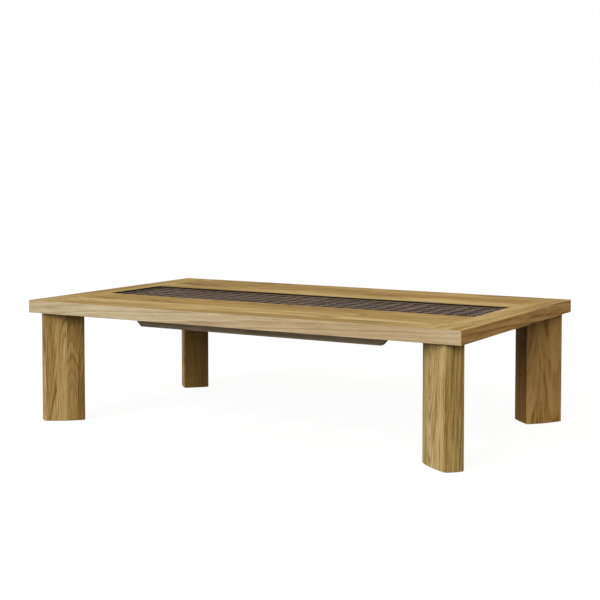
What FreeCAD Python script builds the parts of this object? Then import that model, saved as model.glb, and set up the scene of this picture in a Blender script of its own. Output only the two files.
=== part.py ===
"""A low table with a latticed inset under glass, as an assembly of separate pieces.

The origin lies on the floor under the middle of the table: +X runs along the table to the right,
+Y to the back and +Z up. All sizes are millimetres.
"""
import FreeCAD, Part
import Sketcher
import math
import os

V = FreeCAD.Vector
UP = V(0, 0, 1)
HALF_TURN = 180

# Points closer than this count as one place
SAME_PLACE = 1e-6

doc = FreeCAD.newDocument("LowTable")

# Driving dimensions

SIZES = {
    # The whole table
    "table_length": 1350,
    "table_depth": 800,
    "table_height": 350,
    # The top: four boards round a long opening, with thin lippings on the outer edges
    "top_thickness": 36,
    "lipping_thickness": 4,
    "edge_radius": 1,
    "inset_length": 1190,
    "inset_width": 250,
    # Loose tongues in the joints between the long boards and the end boards
    "tongue_thickness": 8,
    "tongue_depth": 15,
    "tongue_margin": 20,
    # Ledger strips round the opening, and the panel that lies on them
    "ledger_width": 18,
    "ledger_screw_margin": 80,
    "end_ledger_screw_offset": 60,
    "panel_thickness": 4,
    # The lattice and its frame
    "lattice_frame_width": 6,
    "lattice_frame_height": 9.2,
    "lattice_bar_width": 2.6,
    "lattice_bar_height": 8.5,
    "lattice_pair_spacing": 8.4,
    "lattice_stub": 3,
    # The glass over the lattice
    "glass_thickness": 5,
    "glass_gap": 0.5,
    "glass_chamfer": 0.6,
    "bumper_diameter": 5,
    "bumper_thickness": 0.8,
    "bumper_margin": 80,
    # Apron rails under the top, and the cross rails between them
    "apron_length": 848,
    "apron_height": 39,
    "apron_thickness": 20,
    "apron_offset": 250,
    "apron_end_margin": 25,
    "apron_counterbore": 14,
    "apron_arris": 0.8,
    "cross_rail_width": 45,
    "cross_rail_height": 20,
    "cross_rail_counterbore": 6,
    "cross_rail_screw_offset": 180,
    "dowel_diameter": 8,
    "dowel_in_apron": 10,
    "dowel_in_rail": 20,
    "dowel_spacing": 24,
    # Wood screws with pan heads
    "screw_diameter": 4.5,
    "screw_head_diameter": 8.5,
    "screw_head_height": 3,
    "screw_bite": 20,
    # The legs: wide posts that stand on the diagonals of the corners
    "leg_inset": 69,
    "leg_length": 115,
    "leg_outer_width": 50,
    "leg_inner_width": 80,
    "leg_side_bulge": 6.5,
    "leg_outer_bulge": 3,
    "leg_inner_bulge": 2,
    "leg_arris": 1,
    "leg_foot_chamfer": 0.5,
    "foot_pad_thickness": 1,
    "foot_pad_margin": 3,
    # Steel plates on the legs, let in flush with the underside of the top
    "plate_thickness": 4,
    "plate_margin": 6,
    "plate_reach": 56,
    "plate_tail_width": 84,
    "leg_screw_diameter": 5,
    "leg_screw_head_diameter": 9.4,
    "leg_screw_head_height": 2.4,
    "leg_screw_length": 40,
    "leg_screw_step": 60,
    "leg_screw_gauge": 28,
    # Bolts from the plates up into insert nuts
    "bolt_diameter": 8,
    "bolt_length": 20,
    "bolt_head_diameter": 14,
    "bolt_head_height": 5,
    "bolt_socket_width": 5,
    "bolt_socket_depth": 3,
    "bolt_hole_gap": 0.5,
    "near_bolt_reach": 15,
    "far_bolt_reach": 38,
    "far_bolt_spacing": 54,
    "washer_diameter": 18,
    "washer_thickness": 1.6,
    "insert_diameter": 12,
    "insert_length": 15,
    # Clearances, and how far a cut runs past the surface that it opens
    "fit_gap": 0.2,
    "lap_gap": 0.1,
    "bore_gap": 0.1,
    "bore_tip_gap": 2,
    "overrun": 5,
}

# Counts
LONG_PAIRS = 5
CROSS_PAIRS = 28
CROSS_RAILS = 3
LEDGER_SCREWS = 5
BUMPERS_A_SIDE = 4
HEX_SIDES = 6

# Legs stand at half a right angle to the sides of the table
LEG_ANGLE = 45

sheet = doc.addObject("Spreadsheet::Sheet", "Sizes")
for row, (alias, number) in enumerate(SIZES.items(), start=1):
    cell = "A%d" % row
    sheet.set(cell, str(number))
    sheet.setAlias(cell, alias)
doc.recompute()

# Derived places, as expressions on the sheet

UNDERSIDE = "(Sizes.table_height - Sizes.top_thickness)"
JOINT_X = "(Sizes.inset_length / 2)"
BOARD_END_X = "(Sizes.table_length / 2 - Sizes.lipping_thickness)"
BOARD_SIDE_Y = "(Sizes.table_depth / 2 - Sizes.lipping_thickness)"
BOARD_WIDTH = "(%s - Sizes.inset_width / 2)" % BOARD_SIDE_Y
BOARD_MID_Y = "((%s + Sizes.inset_width / 2) / 2)" % BOARD_SIDE_Y
MID_THICKNESS_Z = "(Sizes.table_height - Sizes.top_thickness / 2)"

FRAME_TOP = "(Sizes.table_height - Sizes.glass_thickness - Sizes.bumper_thickness)"
PANEL_TOP = "(%s - Sizes.lattice_frame_height)" % FRAME_TOP
LEDGER_TOP = "(%s - Sizes.panel_thickness)" % PANEL_TOP
LEDGER_HEIGHT = "(%s - %s)" % (LEDGER_TOP, UNDERSIDE)
LEDGER_MID_Z = "((%s + %s) / 2)" % (LEDGER_TOP, UNDERSIDE)
LEDGER_SCREW_PITCH = "((Sizes.inset_length - 2 * Sizes.ledger_screw_margin) / %d)" % (LEDGER_SCREWS - 1)

TRAY_X = "(Sizes.inset_length / 2 - Sizes.fit_gap)"
TRAY_Y = "(Sizes.inset_width / 2 - Sizes.fit_gap)"
LATTICE_X = "(%s - Sizes.lattice_frame_width)" % TRAY_X
LATTICE_Y = "(%s - Sizes.lattice_frame_width)" % TRAY_Y
LATTICE_MID_Z = "(%s + Sizes.lattice_bar_height / 2)" % PANEL_TOP
PAIR_WIDTH = "(Sizes.lattice_pair_spacing + Sizes.lattice_bar_width)"
CROSS_PITCH = "((2 * %s + %s) / %d)" % (LATTICE_X, PAIR_WIDTH, CROSS_PAIRS + 1)
LONG_PITCH = "((2 * %s + %s) / %d)" % (LATTICE_Y, PAIR_WIDTH, LONG_PAIRS + 1)
BUMPER_PITCH = "((Sizes.inset_length - 2 * Sizes.bumper_margin) / %d)" % (BUMPERS_A_SIDE - 1)

APRON_BOTTOM = "(%s - Sizes.apron_height)" % UNDERSIDE
APRON_FOOT_LENGTH = "(Sizes.apron_length - 2 * Sizes.apron_height)"
APRON_MID_Y = "(Sizes.apron_offset - Sizes.apron_thickness / 2)"
APRON_INNER_Y = "(Sizes.apron_offset - Sizes.apron_thickness)"
CROSS_RAIL_PITCH = "((%s - 2 * Sizes.apron_end_margin) / %d)" % (APRON_FOOT_LENGTH, CROSS_RAILS)
CROSS_RAIL_BOTTOM = "(%s - Sizes.cross_rail_height)" % UNDERSIDE
CROSS_RAIL_MID_Z = "(%s - Sizes.cross_rail_height / 2)" % UNDERSIDE

LEG_X = "(Sizes.table_length / 2 - Sizes.leg_inset)"
LEG_Y = "(Sizes.table_depth / 2 - Sizes.leg_inset)"
LEG_HALF = "(Sizes.leg_length / 2)"
PLATE_TOP = "(%s + Sizes.plate_thickness)" % UNDERSIDE
RECESS_TOP = "(%s + Sizes.fit_gap)" % PLATE_TOP
NEAR_BOLT_X = "(%s + Sizes.near_bolt_reach)" % LEG_HALF
FAR_BOLT_X = "(%s + Sizes.far_bolt_reach)" % LEG_HALF

# The places of the bolts and of the plate's wood screws, in a leg's own frame:
# there +X points along the diagonal to the corner of the table
BOLT_PLACES = [
    ("-%s" % NEAR_BOLT_X, "0"),
    ("-%s" % FAR_BOLT_X, "Sizes.far_bolt_spacing / 2"),
    ("-%s" % FAR_BOLT_X, "-Sizes.far_bolt_spacing / 2"),
]
LEG_SCREW_PLACES = [
    ("%s * Sizes.leg_screw_step / 2" % along, "%s * Sizes.leg_screw_gauge / 2" % across)
    for along in ("1", "(-1)")
    for across in ("1", "(-1)")
]

# The corners: name, side along X, side along Y, direction of the diagonal
CORNERS = [
    ("front_left", -1, -1, LEG_ANGLE - HALF_TURN),
    ("front_right", 1, -1, -LEG_ANGLE),
    ("back_right", 1, 1, LEG_ANGLE),
    ("back_left", -1, 1, HALF_TURN - LEG_ANGLE),
]

# Drawing and modelling steps

pieces = []


def new_piece(label, turned=False):
    """A body with its own label. A turned one is the other side's twin, half a turn about Z."""
    body = doc.addObject("PartDesign::Body", label)
    body.Label = label
    body.AllowCompound = True
    if turned:
        body.Placement = FreeCAD.Placement(V(), FreeCAD.Rotation(UP, HALF_TURN))
    pieces.append(body)
    return body


def origin_part(body, role):
    return next(part for part in body.Origin.OriginFeatures if part.Role == role)


def new_sketch(body, name, plane="XY_Plane", at=("0", "0", "0"), angle=0):
    """A sketch on an origin plane, moved by three expressions in that plane's own axes."""
    sketch = body.newObject("Sketcher::SketchObject", name)
    sketch.AttachmentSupport = [(origin_part(body, plane), "")]
    sketch.MapMode = "FlatFace"
    sketch.AttachmentOffset = FreeCAD.Placement(V(), FreeCAD.Rotation(UP, angle))
    for axis, place in zip("xyz", at):
        sketch.setExpression("AttachmentOffset.Base." + axis, place)
    return sketch


def bind(sketch, constraint, meaning, expression):
    """Add a constraint under its own name and tie it to the sheet."""
    index = sketch.addConstraint(constraint)
    name = "%s_%d" % (meaning, index)
    sketch.renameConstraint(index, name)
    sketch.setExpression("Constraints." + name, expression)


def value_of(expression):
    """The number that an expression on the sheet has now, to draw the first outline near its place."""
    return float(sheet.evalExpression(expression.replace("Sizes.", "")))


def pin_point(sketch, geometry, point, x, y):
    """Hold one point of a sketch at a place given by two expressions."""
    bind(sketch, Sketcher.Constraint("DistanceX", -1, 1, geometry, point, value_of(x)), "across", x)
    bind(sketch, Sketcher.Constraint("DistanceY", -1, 1, geometry, point, value_of(y)), "up", y)


def draw_polygon(sketch, corners):
    """A closed outline of straight lines. Each corner is a pair of expressions."""
    points = [V(value_of(x), value_of(y), 0) for x, y in corners]
    first = sketch.GeometryCount
    count = len(corners)
    for number, point in enumerate(points):
        sketch.addGeometry(Part.LineSegment(point, points[(number + 1) % count]), False)
    for number, (x, y) in enumerate(corners):
        following = first + (number + 1) % count
        sketch.addConstraint(Sketcher.Constraint("Coincident", first + number, 2, following, 1))
        pin_point(sketch, first + number, 1, x, y)


def draw_rectangle(sketch, left, right, low, high):
    draw_polygon(sketch, [(left, low), (right, low), (right, high), (left, high)])


def draw_centred_rectangle(sketch, half_width, half_height):
    draw_rectangle(sketch, "-" + half_width, half_width, "-" + half_height, half_height)


def draw_circle(sketch, x, y, diameter):
    geometry = sketch.addGeometry(
        Part.Circle(V(value_of(x), value_of(y), 0), UP, value_of(diameter) / 2), False)
    pin_point(sketch, geometry, 3, x, y)
    bind(sketch, Sketcher.Constraint("Diameter", geometry, value_of(diameter)), "diameter", diameter)


def arc_radius(chord, bulge):
    return "((%s)^2 / (8 * %s) + %s / 2)" % (chord, bulge, bulge)


def draw_leg_outline(sketch, margin="0"):
    """The section of a leg in its own frame: four gently bowed faces, drawn in by a margin."""
    half = "(%s - %s)" % (LEG_HALF, margin)
    outer = "(Sizes.leg_outer_width / 2 - %s)" % margin
    inner = "(Sizes.leg_inner_width / 2 - %s)" % margin
    side = "sqrt((2 * %s)^2 + (%s - %s)^2)" % (half, inner, outer)
    corners = [(half, "-" + outer), (half, outer), ("-" + half, inner), ("-" + half, "-" + inner)]
    faces = [
        ("2 * " + outer, "Sizes.leg_outer_bulge"),
        (side, "Sizes.leg_side_bulge"),
        ("2 * " + inner, "Sizes.leg_inner_bulge"),
        (side, "Sizes.leg_side_bulge"),
    ]
    points = [V(value_of(x), value_of(y), 0) for x, y in corners]
    for number, (_, bulge) in enumerate(faces):
        start = points[number]
        end = points[(number + 1) % len(points)]
        along = (end - start).normalize()
        crown = (start + end) / 2 + V(along.y, -along.x, 0) * value_of(bulge)
        sketch.addGeometry(Part.Arc(start, crown, end), False)
    for number, (chord, bulge) in enumerate(faces):
        following = (number + 1) % len(faces)
        sketch.addConstraint(Sketcher.Constraint("Coincident", number, 2, following, 1))
        pin_point(sketch, number, 1, *corners[number])
        radius = arc_radius(chord, bulge)
        bind(sketch, Sketcher.Constraint("Radius", number, value_of(radius)), "radius", radius)


def draw_plate_outline(sketch, gap="0"):
    """The outline of a leg plate in the leg's own frame, grown by a gap: narrow over the leg's outer
    face, and wider at the tail that reaches past the inner face to the bolts."""
    nose = "(%s - Sizes.plate_margin + %s)" % (LEG_HALF, gap)
    tail = "(%s + Sizes.plate_reach + %s)" % (LEG_HALF, gap)
    nose_half = "(Sizes.leg_outer_width / 2 - Sizes.plate_margin + %s)" % gap
    tail_half = "(Sizes.plate_tail_width / 2 + %s)" % gap
    draw_polygon(sketch, [
        (nose, "-" + nose_half),
        (nose, nose_half),
        ("-" + tail, tail_half),
        ("-" + tail, "-" + tail_half),
    ])


def finish_feature(body, feature):
    """Recompute, make the feature the body's tip and give it back."""
    body.Tip = feature
    doc.recompute()
    return feature


def pad(body, sketch, length, midplane=False, backward=False):
    feature = body.newObject("PartDesign::Pad", sketch.Name + "Pad")
    feature.Profile = sketch
    feature.setExpression("Length", length)
    feature.Midplane = midplane
    feature.Reversed = backward
    return finish_feature(body, feature)


def pocket(body, sketch, depth, midplane=False, forward=False):
    """Cut away from the sketch's front, or along it if forward, and stop if nothing was cut."""
    before = body.Shape.Volume
    feature = body.newObject("PartDesign::Pocket", sketch.Name + "Pocket")
    feature.Profile = sketch
    feature.Refine = False
    feature.setExpression("Length", depth)
    feature.Midplane = midplane
    feature.Reversed = forward
    finish_feature(body, feature)
    if feature.Shape.Volume >= before:
        raise RuntimeError("%s cuts nothing from %s" % (sketch.Name, body.Label))
    return feature


def pattern(body, originals, axis, pitch, count):
    """Repeat some features, or the whole body if there are none, along an axis of the body."""
    feature = body.newObject("PartDesign::LinearPattern", "Row")
    if originals:
        feature.Originals = originals
    else:
        feature.TransformMode = "Whole shape"
    feature.Direction = (origin_part(body, axis), [""])
    feature.Mode = "Spacing"
    feature.setExpression("Offset", pitch)
    feature.Occurrences = count
    feature.Refine = False
    return finish_feature(body, feature)


def mirror(body, originals, plane):
    """Mirror some features, or the whole body if there are none, across a plane of the body."""
    feature = body.newObject("PartDesign::Mirrored", "Mirror")
    if originals:
        feature.Originals = originals
    else:
        feature.TransformMode = "Whole shape"
    feature.MirrorPlane = (origin_part(body, plane), [""])
    feature.Refine = False
    return finish_feature(body, feature)


def soften(body, kind, size, wanted):
    """Fillet or chamfer the edges of the body's shape that a test picks out."""
    base = body.Tip
    names = ["Edge%d" % number for number, edge in enumerate(base.Shape.Edges, start=1) if wanted(edge)]
    feature = body.newObject("PartDesign::" + kind, kind)
    feature.Base = (base, names)
    feature.setExpression("Radius" if kind == "Fillet" else "Size", size)
    return finish_feature(body, feature)


def near(one, other):
    return math.isclose(one, other, abs_tol=SAME_PLACE)


def first_of_row(pitch, count):
    """Where a row of copies centred on zero begins."""
    return "(-%s * %d / 2)" % (pitch, count - 1)


def front_right_sketch(body, name, height):
    """A sketch in the front right leg's own frame, at a height."""
    return new_sketch(body, name, at=(LEG_X, "-" + LEG_Y, height), angle=-LEG_ANGLE)


# Boards of the top

SCREW_DEPTH = "Sizes.screw_bite + Sizes.bore_tip_gap"
SHANK_BORE = "Sizes.screw_diameter + 2 * Sizes.bore_gap"
HEAD_BORE = "Sizes.screw_head_diameter + 2 * Sizes.fit_gap"


def cut_plate_recess(body):
    """The recess for the front right leg's plate, from the underside."""
    outline = front_right_sketch(body, "PlateRecess", UNDERSIDE)
    draw_plate_outline(outline, "Sizes.fit_gap")
    return pocket(body, outline, "%s - %s" % (RECESS_TOP, UNDERSIDE), forward=True)


def cut_insert_bores(body):
    """The bores for the insert nuts over the front right leg's plate."""
    bores = front_right_sketch(body, "InsertBores", UNDERSIDE)
    for x, y in BOLT_PLACES:
        draw_circle(bores, x, y, "Sizes.insert_diameter + 2 * Sizes.bore_gap")
    depth = "%s - %s + Sizes.insert_length + Sizes.bore_tip_gap" % (RECESS_TOP, UNDERSIDE)
    return pocket(body, bores, depth, forward=True)


def cut_tongue_groove(body):
    """A stopped groove for the loose tongue of the front right joint, cut across that joint."""
    half_depth = "(Sizes.tongue_depth + Sizes.fit_gap)"
    half_length = "(%s / 2 - Sizes.tongue_margin + Sizes.fit_gap)" % BOARD_WIDTH
    groove = new_sketch(body, "TongueGroove", at=(JOINT_X, "-" + BOARD_MID_Y, MID_THICKNESS_Z))
    draw_centred_rectangle(groove, half_depth, half_length)
    return pocket(body, groove, "Sizes.tongue_thickness + 2 * Sizes.lap_gap", midplane=True)


def make_long_board(label, turned):
    """The front board, or its twin at the back."""
    body = new_piece(label, turned)
    outline = new_sketch(body, "Outline", at=("0", "0", UNDERSIDE))
    draw_rectangle(outline, "-" + JOINT_X, JOINT_X, "-" + BOARD_SIDE_Y, "-Sizes.inset_width / 2")
    pad(body, outline, "Sizes.top_thickness")
    cuts = [cut_tongue_groove(body), cut_plate_recess(body), cut_insert_bores(body)]
    mirror(body, cuts, "YZ_Plane")

    # Bores for the screws of the apron and of the cross rails
    apron_bore = new_sketch(body, "ApronScrewBore", at=("0", "0", UNDERSIDE))
    draw_circle(apron_bore, first_of_row(CROSS_RAIL_PITCH, CROSS_RAILS + 1), "-" + APRON_MID_Y, SHANK_BORE)
    apron_cut = pocket(body, apron_bore, SCREW_DEPTH, forward=True)
    pattern(body, [apron_cut], "X_Axis", CROSS_RAIL_PITCH, CROSS_RAILS + 1)
    rail_bore = new_sketch(body, "RailScrewBore", at=("0", "0", UNDERSIDE))
    draw_circle(rail_bore, first_of_row(CROSS_RAIL_PITCH, CROSS_RAILS),
                "-Sizes.cross_rail_screw_offset", SHANK_BORE)
    rail_cut = pocket(body, rail_bore, SCREW_DEPTH, forward=True)
    pattern(body, [rail_cut], "X_Axis", CROSS_RAIL_PITCH, CROSS_RAILS)

    # Bores for the ledger screws, in the edge that faces the opening
    ledger_bore = new_sketch(body, "LedgerScrewBore", "XZ_Plane", at=("0", "0", "Sizes.inset_width / 2"))
    draw_circle(ledger_bore, first_of_row(LEDGER_SCREW_PITCH, LEDGER_SCREWS), LEDGER_MID_Z, SHANK_BORE)
    ledger_cut = pocket(body, ledger_bore, SCREW_DEPTH, forward=True)
    pattern(body, [ledger_cut], "X_Axis", LEDGER_SCREW_PITCH, LEDGER_SCREWS)


def make_end_board(label, turned):
    """The right end board, or its twin at the left."""
    body = new_piece(label, turned)
    outline = new_sketch(body, "Outline", at=("0", "0", UNDERSIDE))
    draw_rectangle(outline, JOINT_X, BOARD_END_X, "-" + BOARD_SIDE_Y, BOARD_SIDE_Y)
    pad(body, outline, "Sizes.top_thickness")
    cuts = [cut_tongue_groove(body), cut_plate_recess(body)]
    mirror(body, cuts, "XZ_Plane")
    bores = new_sketch(body, "LedgerScrewBores", "YZ_Plane", at=("0", "0", JOINT_X))
    for side in ("-", ""):
        draw_circle(bores, side + "Sizes.end_ledger_screw_offset", LEDGER_MID_Z, SHANK_BORE)
    pocket(body, bores, SCREW_DEPTH, forward=True)


def make_long_lipping(label, turned):
    """The lipping on the front edge, or its twin at the back. It ends at the end lippings."""
    body = new_piece(label, turned)
    outline = new_sketch(body, "Outline", at=("0", "0", UNDERSIDE))
    draw_rectangle(outline, "-" + BOARD_END_X, BOARD_END_X, "-Sizes.table_depth / 2", "-" + BOARD_SIDE_Y)
    pad(body, outline, "Sizes.top_thickness")
    face = -value_of("Sizes.table_depth / 2")

    def on_outer_long_edge(edge):
        ends = [vertex.Point for vertex in edge.Vertexes]
        return all(near(end.y, face) for end in ends) and near(ends[0].z, ends[1].z)

    soften(body, "Fillet", "Sizes.edge_radius", on_outer_long_edge)


def make_end_lipping(label, turned):
    """The lipping on the right end, or its twin at the left, as long as the table is deep."""
    body = new_piece(label, turned)
    outline = new_sketch(body, "Outline", at=("0", "0", UNDERSIDE))
    draw_rectangle(outline, BOARD_END_X, "Sizes.table_length / 2",
                   "-Sizes.table_depth / 2", "Sizes.table_depth / 2")
    pad(body, outline, "Sizes.top_thickness")
    face = value_of("Sizes.table_length / 2")

    def on_outer_face(edge):
        return all(near(vertex.Point.x, face) for vertex in edge.Vertexes)

    soften(body, "Fillet", "Sizes.edge_radius", on_outer_face)


def make_tongue(label, x_side, y_side):
    """A loose tongue in the joint between a long board and an end board."""
    body = new_piece(label)
    middle = ("%d * %s" % (x_side, JOINT_X), "%d * %s" % (y_side, BOARD_MID_Y), MID_THICKNESS_Z)
    outline = new_sketch(body, "Outline", at=middle)
    draw_centred_rectangle(outline, "Sizes.tongue_depth", "(%s / 2 - Sizes.tongue_margin)" % BOARD_WIDTH)
    pad(body, outline, "Sizes.tongue_thickness", midplane=True)


# Ledgers, panel and lattice

def make_long_ledger(label, turned):
    """The ledger along the front board's edge, or its twin at the back."""
    body = new_piece(label, turned)
    outline = new_sketch(body, "Outline", at=("0", "0", UNDERSIDE))
    inner = "(Sizes.inset_width / 2 - Sizes.ledger_width)"
    draw_rectangle(outline, "-" + JOINT_X, JOINT_X, "-Sizes.inset_width / 2", "-" + inner)
    pad(body, outline, LEDGER_HEIGHT)
    start = first_of_row(LEDGER_SCREW_PITCH, LEDGER_SCREWS)
    head = new_sketch(body, "HeadBore", "XZ_Plane", at=("0", "0", inner))
    draw_circle(head, start, LEDGER_MID_Z, HEAD_BORE)
    head_cut = pocket(body, head, "Sizes.screw_head_height", forward=True)
    shank = new_sketch(body, "ShankBore", "XZ_Plane", at=("0", "0", inner))
    draw_circle(shank, start, LEDGER_MID_Z, SHANK_BORE)
    shank_cut = pocket(body, shank, "Sizes.ledger_width + Sizes.overrun", forward=True)
    pattern(body, [head_cut, shank_cut], "X_Axis", LEDGER_SCREW_PITCH, LEDGER_SCREWS)


def make_end_ledger(label, turned):
    """The ledger along the right end board's edge, or its twin at the left, between the long ones."""
    body = new_piece(label, turned)
    inner_x = "(%s - Sizes.ledger_width)" % JOINT_X
    inner_y = "(Sizes.inset_width / 2 - Sizes.ledger_width)"
    outline = new_sketch(body, "Outline", at=("0", "0", UNDERSIDE))
    draw_rectangle(outline, inner_x, JOINT_X, "-" + inner_y, inner_y)
    pad(body, outline, LEDGER_HEIGHT)
    heads = new_sketch(body, "HeadBores", "YZ_Plane", at=("0", "0", inner_x))
    shanks = new_sketch(body, "ShankBores", "YZ_Plane", at=("0", "0", inner_x))
    for side in ("-", ""):
        draw_circle(heads, side + "Sizes.end_ledger_screw_offset", LEDGER_MID_Z, HEAD_BORE)
        draw_circle(shanks, side + "Sizes.end_ledger_screw_offset", LEDGER_MID_Z, SHANK_BORE)
    pocket(body, heads, "Sizes.screw_head_height", forward=True)
    pocket(body, shanks, "Sizes.ledger_width + Sizes.overrun", forward=True)


def make_ledger_screws():
    """All the screws that run level through the ledgers into the boards."""
    body = new_piece("ledger_screws")
    inner_y = "(Sizes.inset_width / 2 - Sizes.ledger_width + Sizes.screw_head_height)"
    start = first_of_row(LEDGER_SCREW_PITCH, LEDGER_SCREWS)
    head = new_sketch(body, "Head", "XZ_Plane", at=("0", "0", inner_y))
    draw_circle(head, start, LEDGER_MID_Z, "Sizes.screw_head_diameter")
    head_pad = pad(body, head, "Sizes.screw_head_height", backward=True)
    shank = new_sketch(body, "Shank", "XZ_Plane", at=("0", "0", inner_y))
    draw_circle(shank, start, LEDGER_MID_Z, "Sizes.screw_diameter")
    shank_length = "Sizes.ledger_width - Sizes.screw_head_height + Sizes.screw_bite"
    shank_pad = pad(body, shank, shank_length)
    pattern(body, [head_pad, shank_pad], "X_Axis", LEDGER_SCREW_PITCH, LEDGER_SCREWS)
    mirror(body, None, "XZ_Plane")
    inner_x = "(%s - Sizes.ledger_width + Sizes.screw_head_height)" % JOINT_X
    end_heads = new_sketch(body, "EndHeads", "YZ_Plane", at=("0", "0", inner_x))
    end_shanks = new_sketch(body, "EndShanks", "YZ_Plane", at=("0", "0", inner_x))
    for side in ("-", ""):
        draw_circle(end_heads, side + "Sizes.end_ledger_screw_offset", LEDGER_MID_Z,
                    "Sizes.screw_head_diameter")
        draw_circle(end_shanks, side + "Sizes.end_ledger_screw_offset", LEDGER_MID_Z,
                    "Sizes.screw_diameter")
    end_head_pad = pad(body, end_heads, "Sizes.screw_head_height", backward=True)
    end_shank_pad = pad(body, end_shanks, shank_length)
    mirror(body, [end_head_pad, end_shank_pad], "YZ_Plane")


def make_inset_panel():
    body = new_piece("inset_panel")
    outline = new_sketch(body, "Outline", at=("0", "0", LEDGER_TOP))
    draw_centred_rectangle(outline, TRAY_X, TRAY_Y)
    pad(body, outline, "Sizes.panel_thickness")


def draw_pair(sketch, centre, low, high, width):
    """Two like upright rectangles side by side, one for each bar of a pair."""
    for side in ("-", "+"):
        middle = "(%s %s Sizes.lattice_pair_spacing / 2)" % (centre, side)
        draw_rectangle(sketch, "%s - %s / 2" % (middle, width), "%s + %s / 2" % (middle, width), low, high)


MORTISE_WIDTH = "(Sizes.lattice_bar_width + 2 * Sizes.lap_gap)"
BAR_TOP = "(%s + Sizes.lattice_bar_height)" % PANEL_TOP


def make_lattice_rail(label, turned, long_side):
    """One rail of the frame round the lattice, with a mortise for the end of each bar."""
    body = new_piece(label, turned)
    outline = new_sketch(body, "Outline", at=("0", "0", PANEL_TOP))
    if long_side:
        draw_rectangle(outline, "-" + TRAY_X, TRAY_X, "-" + TRAY_Y, "-" + LATTICE_Y)
    else:
        draw_rectangle(outline, LATTICE_X, TRAY_X, "-" + LATTICE_Y, LATTICE_Y)
    pad(body, outline, "Sizes.lattice_frame_height")
    if long_side:
        mortise = new_sketch(body, "Mortises", "XZ_Plane", at=("0", "0", LATTICE_Y))
        axis, pitch, count = "X_Axis", CROSS_PITCH, CROSS_PAIRS
    else:
        mortise = new_sketch(body, "Mortises", "YZ_Plane", at=("0", "0", LATTICE_X))
        axis, pitch, count = "Y_Axis", LONG_PITCH, LONG_PAIRS
    draw_pair(mortise, first_of_row(pitch, count), PANEL_TOP, BAR_TOP + " + Sizes.lap_gap", MORTISE_WIDTH)
    cut = pocket(body, mortise, "Sizes.lattice_stub + Sizes.lap_gap", forward=True)
    pattern(body, [cut], axis, pitch, count)


def make_lattice_bars(label, long_way):
    """The bars that run one way, in pairs, halved where they cross the others."""
    body = new_piece(label)
    if long_way:
        side_plane, face_plane = "YZ_Plane", "XZ_Plane"
        length, pitch, count = "2 * (%s + Sizes.lattice_stub)" % LATTICE_X, LONG_PITCH, LONG_PAIRS
        notch_axis, notch_pitch, notch_count = "X_Axis", CROSS_PITCH, CROSS_PAIRS
        bar_axis = "Y_Axis"
        notch_low, notch_high = LATTICE_MID_Z + " - Sizes.lap_gap / 2", BAR_TOP + " + Sizes.overrun"
    else:
        side_plane, face_plane = "XZ_Plane", "YZ_Plane"
        length, pitch, count = "2 * (%s + Sizes.lattice_stub)" % LATTICE_Y, CROSS_PITCH, CROSS_PAIRS
        notch_axis, notch_pitch, notch_count = "Y_Axis", LONG_PITCH, LONG_PAIRS
        bar_axis = "X_Axis"
        notch_low, notch_high = PANEL_TOP + " - Sizes.overrun", LATTICE_MID_Z + " + Sizes.lap_gap / 2"
    section = new_sketch(body, "Section", side_plane)
    draw_pair(section, first_of_row(pitch, count), PANEL_TOP, BAR_TOP, "Sizes.lattice_bar_width")
    pad(body, section, length, midplane=True)
    notch = new_sketch(body, "Notches", face_plane)
    draw_pair(notch, first_of_row(notch_pitch, notch_count), notch_low, notch_high, MORTISE_WIDTH)
    across = "2 * (Sizes.inset_width + Sizes.inset_length)"
    cut = pocket(body, notch, across, midplane=True)
    pattern(body, [cut], notch_axis, notch_pitch, notch_count)
    pattern(body, None, bar_axis, pitch, count)


# Glass

def make_glass_bumpers():
    """Small clear discs on the lattice frame, for the glass to lie on."""
    body = new_piece("glass_bumpers")
    disc = new_sketch(body, "Disc", at=("0", "0", FRAME_TOP))
    draw_circle(disc, first_of_row(BUMPER_PITCH, BUMPERS_A_SIDE),
                "-(%s - Sizes.lattice_frame_width / 2)" % TRAY_Y, "Sizes.bumper_diameter")
    pad(body, disc, "Sizes.bumper_thickness")
    pattern(body, None, "X_Axis", BUMPER_PITCH, BUMPERS_A_SIDE)
    mirror(body, None, "XZ_Plane")


def make_glass_panel():
    """The glass, flush with the top, with its upper arris taken off."""
    body = new_piece("glass_panel")
    outline = new_sketch(body, "Outline", at=("0", "0", FRAME_TOP + " + Sizes.bumper_thickness"))
    draw_centred_rectangle(outline, "(%s - Sizes.glass_gap)" % JOINT_X,
                           "(Sizes.inset_width / 2 - Sizes.glass_gap)")
    pad(body, outline, "Sizes.glass_thickness")
    face = value_of("Sizes.table_height")

    def on_upper_face(edge):
        return all(near(vertex.Point.z, face) for vertex in edge.Vertexes)

    soften(body, "Chamfer", "Sizes.glass_chamfer", on_upper_face)


# Aprons, cross rails and what holds them

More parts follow.
